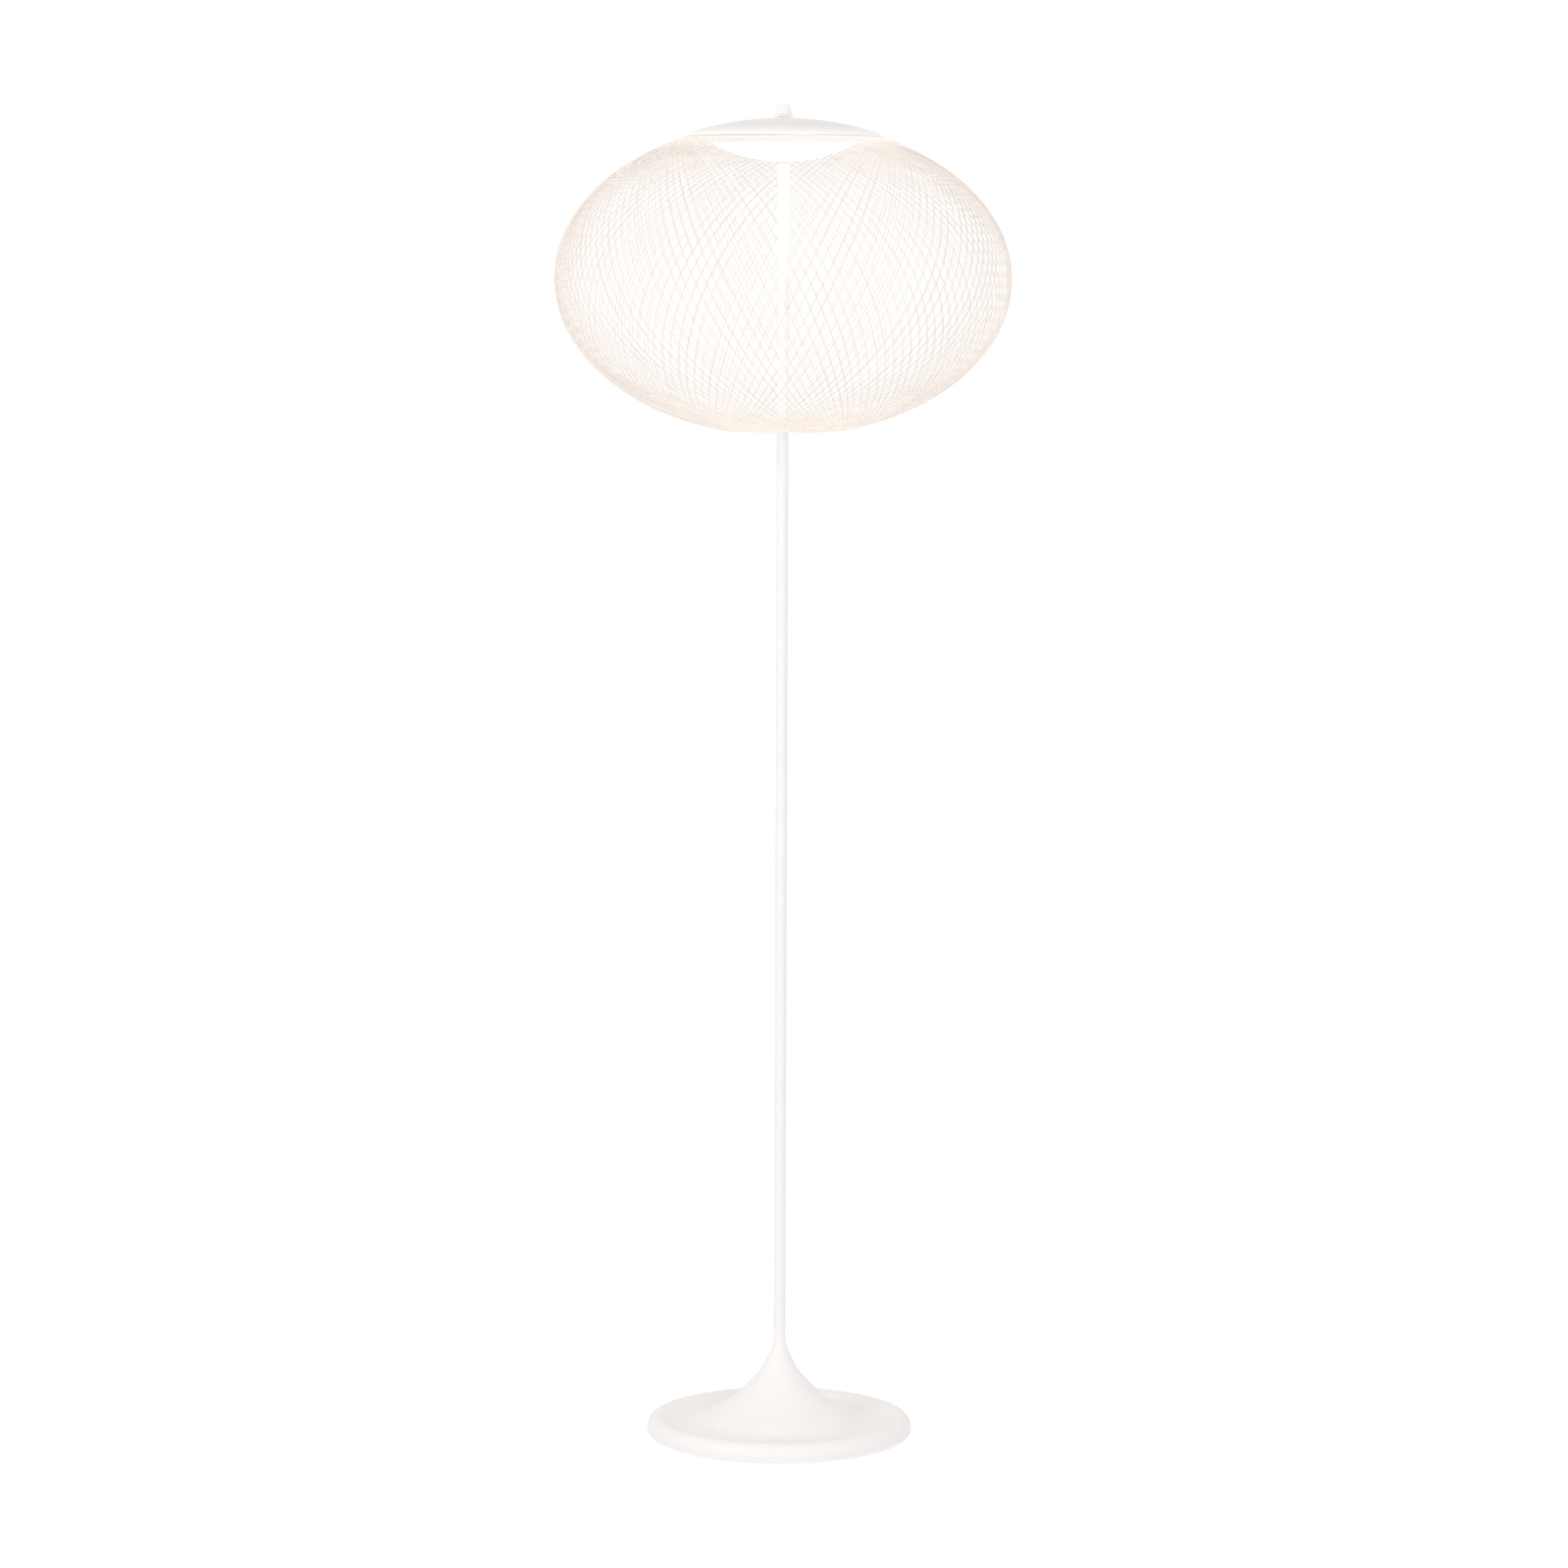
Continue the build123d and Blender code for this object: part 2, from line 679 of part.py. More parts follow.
# Opal bowl: a shallow piece of a sphere with a flange, and a hole for the pole and its seal
bowl_bottom = head_height - bowl_depth
seal_inner_radius = pole_radius + fit_gap
seal_radius = seal_inner_radius + seal_width
seal_lip_radius = seal_radius + seal_lip_width
bowl_hole_radius = seal_radius + fit_gap
flange_underside = head_height - bowl_flange_thickness
bowl_inner_end = bowl_radius(head_height, bowl_wall)
with BuildPart() as diffuser:
    with BuildSketch(Plane.XZ):
        with BuildLine():
            bowl_outer = ThreePointArc(
                bowl_point(bowl_hole_radius, 0),
                bowl_point(bowl_rim_radius / 2, 0),
                bowl_point(bowl_rim_radius, 0),
            )
            bowl_flange = Polyline(
                bowl_outer @ 1,
                (bowl_flange_radius, flange_underside),
                (bowl_flange_radius, head_height),
                (bowl_inner_end, head_height),
            )
            bowl_inner = ThreePointArc(
                bowl_flange @ 1,
                bowl_point(bowl_inner_end / 2, bowl_wall),
                bowl_point(bowl_hole_radius, bowl_wall),
            )
            Line(bowl_inner @ 1, bowl_outer @ 0)
        make_face()
    revolve(axis=Axis.Z)
save(diffuser.part, "diffuser")

# Seal between the bowl's hole and the pole: a sleeve with a lip on each side of the bowl
lower_lip_top = bowl_bottom + sphere_fall(bowl_hole_radius, bowl_sphere_radius) - fit_gap
seal_lip_fall = sphere_fall(seal_lip_radius, bowl_sphere_radius - bowl_wall)
upper_lip_bottom = bowl_bottom + bowl_wall + seal_lip_fall + fit_gap
seal_bottom = lower_lip_top - seal_lip_thickness
seal_top = upper_lip_bottom + seal_lip_thickness
with BuildPart() as bowl_seal:
    with BuildSketch(Plane.XZ):
        with BuildLine():
            Polyline(
                (seal_inner_radius, seal_bottom),
                (seal_lip_radius, seal_bottom),
                (seal_lip_radius, lower_lip_top),
                (seal_radius, lower_lip_top),
                (seal_radius, upper_lip_bottom),
                (seal_lip_radius, upper_lip_bottom),
                (seal_lip_radius, seal_top),
                (seal_inner_radius, seal_top),
                close=True,
            )
        make_face()
    revolve(axis=Axis.Z)
save(bowl_seal.part, "bowl_seal")

# Cap shell: a shallow dome whose edge rolls down over the shade's top ring
rim_height = head_height + cap_rim_rise
cap_hole_radius = bushing_radius + bushing_hole_gap
inner_dome_radius = cap_dome_radius - cap_wall


def dome_point(radius, sphere_radius):
    """Point of the dome at a radius, on its outer or its inner sphere."""
    return (radius, cap_centre_height + sqrt(sphere_radius**2 - radius**2))


inner_roll_start_radius = cap_roll_start_radius * inner_dome_radius / cap_dome_radius
with BuildPart() as cap_shell:
    with BuildSketch(Plane.XZ):
        with BuildLine():
            dome = ThreePointArc(
                dome_point(cap_hole_radius, cap_dome_radius),
                dome_point(cap_roll_start_radius / 2, cap_dome_radius),
                dome_point(cap_roll_start_radius, cap_dome_radius),
            )
            roll = TangentArc(dome @ 1, (cap_radius, rim_height + cap_lip), tangent=dome % 1)
            lip = Polyline(
                roll @ 1,
                (cap_radius, rim_height),
                (cap_radius - cap_wall, rim_height),
                (cap_radius - cap_wall, rim_height + cap_lip),
            )
            inner_dome = ThreePointArc(
                dome_point(cap_hole_radius, inner_dome_radius),
                dome_point(inner_roll_start_radius / 2, inner_dome_radius),
                dome_point(inner_roll_start_radius, inner_dome_radius),
            )
            TangentArc(inner_dome @ 1, lip @ 1, tangent=inner_dome % 1)
            Line(inner_dome @ 0, dome @ 0)
        make_face()
    revolve(axis=Axis.Z)
save(cap_shell.part, "cap_shell")

# Bracket: a bridge over the lead that carries the dimmer body and meets the cap's inner face
bracket_top = dome_point(bracket_corner, inner_dome_radius)[1] - fit_gap
dimmer_top = bracket_top - bracket_wall
bracket_height = bracket_top - carrier_top
with BuildPart() as dimmer_bracket:
    with Locations((0, 0, bracket_top - bracket_wall / 2)):
        Box(bracket_length, 2 * bracket_outer_half, bracket_wall)
    with Locations((0, 0, carrier_top + bracket_height / 2)):
        with GridLocations(0, 2 * bracket_inner_half + bracket_wall, 1, 2):
            Box(bracket_length, bracket_wall, bracket_height)
    with Locations((0, 0, carrier_top + bracket_wall / 2)):
        with GridLocations(0, 2 * bracket_screw_distance, 1, 2):
            Box(bracket_length, bracket_foot_width, bracket_wall)
    with Locations((0, 0, bracket_top)):
        Hole(cap_hole_radius, bracket_wall + overrun)
    with Locations((0, 0, carrier_top + bracket_wall)):
        with GridLocations(bracket_screw_spacing, 2 * bracket_screw_distance, 2, 2):
            Hole(bracket_screw_radius + fit_gap, bracket_wall)
save(dimmer_bracket.part, "dimmer_bracket")

with BuildPart() as bracket_screws:
    with Locations((0, 0, head_height)):
        with GridLocations(bracket_screw_spacing, 2 * bracket_screw_distance, 2, 2):
            screw(
                bracket_screw_radius,
                carrier_thickness + bracket_wall,
                bracket_screw_head_radius,
                bracket_screw_head_height,
            )
save(bracket_screws.part, "bracket_screws")

# Dimmer body: a closed case with a chamber for the push switch, and a bushing up through the cap
dimmer_bottom = dimmer_top - dimmer_height
chamber_bottom = dimmer_bottom + dimmer_base
chamber_height = dimmer_height - dimmer_base - dimmer_roof
chamber_top = chamber_bottom + chamber_height
bushing_top = apex + bushing_standout
with BuildPart() as dimmer_body:
    with Locations((0, 0, dimmer_bottom + dimmer_height / 2)):
        Box(dimmer_width, dimmer_width, dimmer_height)
    with BuildSketch(Plane.XY.offset(dimmer_top)):
        Circle(bushing_radius)
    extrude(amount=bushing_top - dimmer_top)
    with BuildSketch(Plane.XY.offset(chamber_bottom)):
        Circle(chamber_radius)
    extrude(amount=chamber_height, mode=Mode.SUBTRACT)
    with BuildSketch(Plane.XY.offset(chamber_top)):
        Circle(shaft_radius + fit_gap)
    extrude(amount=bushing_top - chamber_top, mode=Mode.SUBTRACT)
save(dimmer_body.part, "dimmer_body")

# Collar and nut on the bushing, over the cap
with BuildPart() as cap_collar:
    with BuildSketch(Plane.XY.offset(apex)):
        Circle(collar_radius)
        Circle(cap_hole_radius, mode=Mode.SUBTRACT)
    extrude(amount=collar_thickness)
    fillet(cap_collar.edges().group_by(Axis.Z)[-1].sort_by(SortBy.RADIUS)[-1], collar_thickness / 2)
save(cap_collar.part, "cap_collar")

with BuildPart() as cap_nut:
    with BuildSketch(Plane.XY.offset(apex + collar_thickness)):
        RegularPolygon(cap_nut_flats / 2, 6, major_radius=False)
        Circle(bushing_radius + fit_gap, mode=Mode.SUBTRACT)
    extrude(amount=cap_nut_height)
save(cap_nut.part, "cap_nut")

# Dimmer shaft, with a flange in the chamber and a flat that drives the knob
shaft_flange_top = chamber_top - fit_gap
shaft_flange_bottom = shaft_flange_top - shaft_flange_thickness
core_bottom = knob_bottom + knob_nut_room_depth
shaft_top = core_bottom + shaft_depth_in_core
flat_distance = shaft_radius - shaft_flat_depth
with BuildPart() as dimmer_shaft:
    with BuildSketch(Plane.XY.offset(shaft_flange_bottom)):
        Circle(shaft_flange_radius)
    extrude(amount=shaft_flange_thickness)
    with BuildSketch(Plane.XY.offset(shaft_flange_top)):
        Circle(shaft_radius)
    extrude(amount=shaft_top - shaft_flange_top)
    with BuildSketch(Plane.XY.offset(core_bottom)):
        with Locations((flat_distance + shaft_radius, 0)):
            Rectangle(2 * shaft_radius, 2 * shaft_radius)
    extrude(amount=shaft_depth_in_core, mode=Mode.SUBTRACT)
save(dimmer_shaft.part, "dimmer_shaft")

# Switch plunger, guided by the chamber, with a boss that centres the spring
plunger_bottom = shaft_flange_bottom - plunger_thickness
with BuildPart() as switch_plunger:
    with BuildSketch(Plane.XY.offset(plunger_bottom)):
        Circle(chamber_radius - slide_gap)
    extrude(amount=plunger_thickness)
    with BuildSketch(Plane.XY.offset(plunger_bottom)):
        Circle(plunger_boss_radius)
    extrude(amount=-plunger_boss_height)
save(switch_plunger.part, "switch_plunger")

# Return spring between the chamber's floor and the plunger
spring_bottom = chamber_bottom + spring_wire_radius + fit_gap
spring_height = plunger_bottom - spring_wire_radius - fit_gap - spring_bottom
with BuildPart() as plunger_spring:
    with BuildLine() as spring_path:
        Helix(spring_height / spring_turns, spring_height, spring_radius, center=(0, 0, spring_bottom))
    with BuildSketch(Plane(spring_path.line @ 0, z_dir=spring_path.line % 0)):
        Circle(spring_wire_radius)
    sweep(path=spring_path.line, is_frenet=True)
save(plunger_spring.part, "plunger_spring")

# Knob shell: a bell with room for the nut and a socket for the core
knob_top = knob_bottom + knob_height
knob_points = [
    (knob_foot_radius * r, knob_bottom + knob_height * z)
    for r, z in zip(knob_radius_shares, knob_height_shares)
]
core_top = core_bottom + core_length
socket_radius = core_radius + fit_gap
with BuildPart() as knob_shell:
    with BuildSketch(Plane.XZ):
        with BuildLine():
            crown = Line((0, knob_top), knob_points[0])
            bell = Spline(knob_points, tangents=[(1, 0), knob_foot_direction])
            Polyline(
                bell @ 1,
                (knob_foot_radius, knob_bottom),
                (knob_mouth_radius, knob_bottom),
                (knob_mouth_radius, knob_bottom + knob_mouth_depth),
                (knob_nut_room_radius, knob_bottom + knob_mouth_depth),
                (knob_nut_room_radius, core_bottom),
                (socket_radius, core_bottom),
                (socket_radius, core_top + fit_gap),
                (0, core_top + fit_gap),
                crown @ 0,
            )
        make_face()
    revolve(axis=Axis.Z)
save(knob_shell.part, "knob_shell")

# Knob core, pressed on the shaft
with BuildPart() as knob_core:
    with BuildSketch(Plane.XY.offset(core_bottom)):
        Circle(core_radius)
    extrude(amount=core_length)
    fillet(knob_core.edges().group_by(Axis.Z)[-1], core_edge_round)
    with BuildSketch(Plane.XY.offset(core_bottom)):
        Circle(shaft_radius + fit_gap)
        with Locations((flat_distance + fit_gap + shaft_radius, 0)):
            Rectangle(2 * shaft_radius, 2 * shaft_radius + 2 * fit_gap, mode=Mode.SUBTRACT)
    extrude(amount=shaft_depth_in_core + fit_gap, mode=Mode.SUBTRACT)
save(knob_core.part, "knob_core")

# Driver case on the carrier plate, with a lug on each side
with BuildPart() as driver_case:
    with Locations((driver_middle, 0, carrier_top + driver_height / 2)):
        Box(driver_length, driver_width, driver_height)
    fillet(driver_case.edges().group_by(Axis.Z)[-1], driver_edge_round)
    with Locations((driver_middle, 0, carrier_top + driver_lug_thickness / 2)):
        Box(driver_lug_length, driver_width + 2 * driver_lug_width, driver_lug_thickness)
    with Locations((driver_middle, 0, carrier_top + driver_lug_thickness)):
        with GridLocations(0, 2 * driver_screw_distance, 1, 2):
            Hole(driver_screw_radius + fit_gap, driver_lug_thickness)
save(driver_case.part, "driver_case")

with BuildPart() as driver_screws:
    with Locations((driver_middle, 0, head_height)):
        with GridLocations(0, 2 * driver_screw_distance, 1, 2):
            screw(
                driver_screw_radius,
                carrier_thickness + driver_lug_thickness,
                driver_screw_head_radius,
                driver_screw_head_height,
            )
save(driver_screws.part, "driver_screws")

# Lead from the dimmer body to the driver
with BuildPart() as dimmer_lead:
    with BuildSketch(Plane.YZ.offset(dimmer_width / 2)):
        with Locations((0, carrier_top + dimmer_lead_height)):
            Circle(dimmer_lead_radius)
    extrude(amount=driver_distance - dimmer_width / 2)
save(dimmer_lead.part, "dimmer_lead")
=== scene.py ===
"""Looks of the globe floor lamp: a wound thread net round a lit bowl, on a white lacquered pole and foot.

Lengths and heights are in metres, and angles are in degrees where a call converts them.
"""
import json
import math

import bpy
import numpy as np
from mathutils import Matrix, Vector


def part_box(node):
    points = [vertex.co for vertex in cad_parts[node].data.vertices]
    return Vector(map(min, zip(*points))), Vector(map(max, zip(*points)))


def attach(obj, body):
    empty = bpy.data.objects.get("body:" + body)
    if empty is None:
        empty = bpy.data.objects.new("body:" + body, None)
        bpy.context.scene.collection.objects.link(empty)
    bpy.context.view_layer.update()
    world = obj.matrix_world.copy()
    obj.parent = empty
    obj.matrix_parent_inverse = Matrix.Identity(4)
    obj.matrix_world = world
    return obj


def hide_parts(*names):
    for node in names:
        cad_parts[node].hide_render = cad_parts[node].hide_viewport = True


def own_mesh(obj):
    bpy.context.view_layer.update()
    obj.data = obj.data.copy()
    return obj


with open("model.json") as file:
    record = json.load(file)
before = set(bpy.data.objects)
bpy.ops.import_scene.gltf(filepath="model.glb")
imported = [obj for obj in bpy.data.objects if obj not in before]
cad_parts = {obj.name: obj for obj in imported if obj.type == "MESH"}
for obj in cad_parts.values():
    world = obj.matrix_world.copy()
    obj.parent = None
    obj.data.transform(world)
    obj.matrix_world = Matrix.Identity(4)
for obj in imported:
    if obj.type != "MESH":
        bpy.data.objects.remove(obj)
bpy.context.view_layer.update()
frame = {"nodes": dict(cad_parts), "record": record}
scene = bpy.context.scene
scene.view_settings.view_transform = "Standard"


# Camera: level with the globe, tilted down a little, through a long lens.
def add_camera(place, tilt_down, roll, lens):
    data = bpy.data.cameras.new("camera")
    data.sensor_width = 36.0
    data.lens = lens
    camera = bpy.data.objects.new("camera", data)
    scene.collection.objects.link(camera)
    camera.location = place
    camera.rotation_euler = (math.radians(90 - tilt_down), math.radians(roll), 0)
    scene.camera = camera


add_camera(place=(0.0012, -6.77, 1.613), tilt_down=5.84, roll=-0.20, lens=112.32)


# Short names for building a node tree.
class Nodes:
    """One node tree, emptied, with calls that add and link its nodes."""

    def __init__(self, owner):
        owner.use_nodes = True
        self.tree = owner.node_tree
        self.tree.nodes.clear()

    def new(self, kind, **values):
        """A node whose settings and inputs are given by name, a space in an input's name as a low line."""
        node = self.tree.nodes.new(kind)
        for name, value in values.items():
            if hasattr(node, name):
                setattr(node, name, value)
            else:
                node.inputs[name.replace("_", " ")].default_value = value
        return node

    def link(self, source, target):
        self.tree.links.new(source, target)

    def math(self, operation, *terms):
        """A math node's output; a term is a number or another node's output."""
        node = self.new("ShaderNodeMath", operation=operation)
        for socket, term in zip(node.inputs, terms):
            if isinstance(term, (int, float)):
                socket.default_value = term
            else:
                self.link(term, socket)
        return node.outputs[0]

    def ramp(self, source, *stops):
        """A colour ramp's output; each stop is a place from 0 to 1 and a colour."""
        node = self.new("ShaderNodeValToRGB")
        elements = node.color_ramp.elements
        while len(elements) < len(stops):
            elements.new(0.5)
        for element, (place, colour) in zip(elements, stops):
            element.position = place
            element.color = (*colour, 1)
        self.link(source, node.inputs[0])
        return node.outputs[0]

    def noise(self, place, scale, detail=2.0, roughness=0.5):
        node = self.new("ShaderNodeTexNoise", Scale=scale, Detail=detail, Roughness=roughness)
        self.link(place, node.inputs["Vector"])
        return node.outputs[0]

    def by_height(self, tones):
        """A colour ramp's output over the height; each tone is a height and a colour."""
        lowest, highest = tones[0][0], tones[-1][0]
        height = self.new("ShaderNodeSeparateXYZ")
        self.link(self.new("ShaderNodeTexCoord").outputs["Object"], height.inputs[0])
        share = self.new("ShaderNodeMapRange")
        share.inputs["From Min"].default_value = lowest
        share.inputs["From Max"].default_value = highest
        self.link(height.outputs["Z"], share.inputs["Value"])
        stops = [((place - lowest) / (highest - lowest), colour) for place, colour in tones]
        return self.ramp(share.outputs[0], *stops)

    def bump(self, height, distance):
        node = self.new("ShaderNodeBump", Strength=1.0, Distance=distance)
        self.link(height, node.inputs["Height"])
        return node.outputs[0]

    def mix(self, share, first, second):
        """The shader that goes from the first one to the second as the share goes from 0 to 1."""
        node = self.new("ShaderNodeMixShader")
        self.link(share, node.inputs[0])
        self.link(first.outputs[0], node.inputs[1])
        self.link(second.outputs[0], node.inputs[2])
        return node

    def shows_background(self):
        """1 for a ray that shows the background: from the camera, off a glossy face or through glass."""
        path = self.new("ShaderNodeLightPath")
        seen = self.math("MAXIMUM", path.outputs["Is Camera Ray"], path.outputs["Is Glossy Ray"])
        return self.math("MAXIMUM", seen, path.outputs["Is Transmission Ray"])


# World: white where it shows, and a soft studio light that is weaker from overhead.
def add_world(level, overhead):
    world = bpy.data.worlds.new("studio")
    scene.world = world
    nodes = Nodes(world)
    direction = nodes.new("ShaderNodeSeparateXYZ")
    nodes.link(nodes.new("ShaderNodeTexCoord").outputs["Generated"], direction.inputs[0])
    soft = nodes.new("ShaderNodeBackground", Strength=1.0)
    nodes.link(nodes.ramp(direction.outputs["Z"], (0.0, level), (1.0, overhead)), soft.inputs["Color"])
    white = nodes.new("ShaderNodeBackground", Color=(1, 1, 1, 1), Strength=1.0)
    both = nodes.mix(nodes.shows_background(), soft, white)
    nodes.link(both.outputs[0], nodes.new("ShaderNodeOutputWorld").inputs[0])


add_world(level=(0.90, 0.907, 0.93), overhead=(0.72, 0.685, 0.66))


# Lamps: a large soft one from the left, and a weaker one near the camera.
def add_lamp(name, place, target, size, power, colour):
    data = bpy.data.lights.new(name, "AREA")
    data.shape = "DISK"
    data.size = size
    data.energy = power
    data.color = colour
    lamp = bpy.data.objects.new(name, data)
    scene.collection.objects.link(lamp)
    lamp.location = place
    aim = np.subtract(target, place)
    tilt = math.atan2(math.hypot(aim[0], aim[1]), -aim[2])
    turn = math.atan2(aim[1], aim[0]) - math.pi / 2
    lamp.rotation_euler = (tilt, 0.0, turn)
    lamp.visible_camera = False


add_lamp("key", place=(-4.2, -3.4, 3.2), target=(0, 0, 1.0), size=2.6, power=60.0, colour=(1.0, 0.99, 0.98))
add_lamp("front", place=(1.8, -5.6, 1.7), target=(0, 0, 0.8), size=2.4, power=52.0, colour=(0.94, 0.985, 1.0))


# Floor: white paper that keeps a faint shadow of the lamp, and shows as white as the world behind it.
def add_floor(side, drop, paper, seen_paper, glow):
    """The floor lies a small drop under the foot. Where it shows, its paper is darker and glows instead."""
    bpy.ops.mesh.primitive_plane_add(size=side, location=(0, 0, -drop))
    floor = bpy.context.object
    floor.name = "floor"
    look = bpy.data.materials.new("floor_white")
    nodes = Nodes(look)
    bounced = nodes.new("ShaderNodeBsdfDiffuse", Color=(paper, paper, paper, 1))
    seen = nodes.new("ShaderNodeBsdfDiffuse", Color=(seen_paper, seen_paper, seen_paper, 1))
    lit = nodes.new("ShaderNodeEmission", Color=(1, 1, 1, 1), Strength=glow)
    shown = nodes.new("ShaderNodeAddShader")
    nodes.link(seen.outputs[0], shown.inputs[0])
    nodes.link(lit.outputs[0], shown.inputs[1])
    both = nodes.mix(nodes.shows_background(), bounced, shown)
    nodes.link(both.outputs[0], nodes.new("ShaderNodeOutputMaterial").inputs[0])
    floor.data.materials.append(look)


add_floor(side=100, drop=0.0002, paper=0.86, seen_paper=0.35, glow=0.75)


# Materials: each one's colour, roughness and relief come from its own grain.
def moulded(name, colour, roughness, grain, relief, spread=0.02, rough_spread=0.05, stretch=(1, 1, 1),
            glows=None, **sockets):
    """A finish with a fine grain of the given scale, and a broad, faint change of colour.

    The grain is in cells per metre. Stretch draws the grain out along an axis. Each painted glow is a height
    and the colour of the painted light that shines from the surface there.
    """
    cells_per_patch = 40
    look = bpy.data.materials.new(name)
    nodes = Nodes(look)
    shader = nodes.new("ShaderNodeBsdfPrincipled", **sockets)
    place = nodes.new("ShaderNodeTexCoord").outputs["Object"]
    stretched = nodes.new("ShaderNodeMapping", Scale=stretch)
    nodes.link(place, stretched.inputs["Vector"])
    fine = nodes.noise(stretched.outputs[0], grain, detail=3.0, roughness=0.6)
    broad = nodes.noise(place, grain / cells_per_patch)
    darker = [value * (1 - spread) for value in colour]
    lighter = [min(1.0, value * (1 + spread)) for value in colour]
    nodes.link(nodes.ramp(broad, (0.3, darker), (0.7, lighter)), shader.inputs["Base Color"])
    varied = nodes.new("ShaderNodeMapRange")
    varied.inputs["To Min"].default_value = max(0.0, roughness - rough_spread)
    varied.inputs["To Max"].default_value = min(1.0, roughness + rough_spread)
    nodes.link(fine, varied.inputs["Value"])
    nodes.link(varied.outputs[0], shader.inputs["Roughness"])
    nodes.link(nodes.bump(fine, relief), shader.inputs["Normal"])
    # Painted light: an emission colour that changes with the height.
    if glows:
        nodes.link(nodes.by_height(glows), shader.inputs["Emission Color"])
    nodes.link(shader.outputs[0], nodes.new("ShaderNodeOutputMaterial").inputs[0])
    return look


def lacquer(name, colour, **values):
    """Smooth satin powder coat."""
    return moulded(name, colour, roughness=0.42, grain=1400, relief=0.00002, spread=0.006,
                   Specular_IOR_Level=0.35, **values)


def metal(name, colour, roughness, grain, relief, spread, **values):
    return moulded(name, colour, roughness, grain, relief, spread, Metallic=1.0, **values)


def twisted_thread(name, pale, warm, glows):
    """Stiffened white thread: two twisted plies, some stretches warmer, and the bowl's light painted in as a
    glow.

    Each painted glow is a height and the colour of that painted light there.
    """
    plies = 2
    lay_length = 0.0032
    ply_relief = 0.00005
    patches_per_metre = 2.4
    look = bpy.data.materials.new(name)
    nodes = Nodes(look)
    shader = nodes.new("ShaderNodeBsdfPrincipled", Roughness=0.55, Sheen_Weight=0.2, Emission_Strength=1.0)
    along = nodes.new("ShaderNodeSeparateXYZ")
    nodes.link(nodes.new("ShaderNodeUVMap", uv_map="along").outputs[0], along.inputs[0])
    twist = nodes.math("MULTIPLY", along.outputs["X"], 2 * math.pi / lay_length)
    ply = nodes.math("SINE", nodes.math("MULTIPLY_ADD", along.outputs["Y"], 2 * plies * math.pi, twist))
    nodes.link(nodes.bump(ply, ply_relief), shader.inputs["Normal"])

    run = nodes.new("ShaderNodeCombineXYZ")
    nodes.link(along.outputs["X"], run.inputs["X"])
    patches = nodes.noise(run.outputs[0], patches_per_metre)
    nodes.link(nodes.ramp(patches, (0.38, warm), (0.58, pale)), shader.inputs["Base Color"])

    # Painted light: the thread glows by height, for the bowl's light in it.
    nodes.link(nodes.by_height(glows), shader.inputs["Emission Color"])
    nodes.link(shader.outputs[0], nodes.new("ShaderNodeOutputMaterial").inputs[0])
    return look


# Painted glows, from the lowest height up: the bowl's light painted in the threads, in the cap's rolled edge
# and on the pole inside the net, and the white paper's light painted on the foot's lowest edge, where it lies
# in shade.
shade_low, shade_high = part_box("wound_shade")
net_low, net_high = float(shade_low[2]), float(shade_high[2])
cap_low = float(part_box("cap_shell")[0][2])
no_painted_glow = (0.0, 0.0, 0.0)
middle_painted_glow = (0.04, 0.033, 0.027)
# Painted glow in the threads, strongest at the two rings, for the bowl's light in them.
thread_painted_glows = (
    (net_low, (0.235, 0.22, 0.205)),
    (net_low + 0.006, (0.195, 0.183, 0.172)),
    (net_low + 0.014, (0.118, 0.107, 0.096)),
    (net_low + 0.0565, middle_painted_glow),
    (net_high - 0.020, middle_painted_glow),
    (net_high, (0.24, 0.25, 0.25)),
)
# Painted glow on the cap's rolled edge, for the bowl's light in it.
rim_painted_glows = (
    (cap_low, (0.20, 0.17, 0.145)),
    (cap_low + 0.0012, (0.13, 0.125, 0.12)),
    (cap_low + 0.006, (0.09, 0.085, 0.08)),
    (cap_low + 0.013, no_painted_glow),
)
# Painted glow on the pole inside the net, for the bowl's light on it.
pole_painted_glows = (
    (net_low - 0.004, no_painted_glow),
    (net_low + 0.006, (0.07, 0.075, 0.085)),
    (net_low + 0.10, (0.06, 0.06, 0.07)),
    (net_low + 0.17, (0.03, 0.0, 0.01)),
)
# Painted glow on the foot's lowest edge, which lightens its shade near the floor.
foot_painted_glows = (
    (0.0, (0.19, 0.185, 0.185)),
    (0.0025, (0.17, 0.165, 0.165)),
    (0.005, (0.06, 0.06, 0.06)),
    (0.009, no_painted_glow),
)

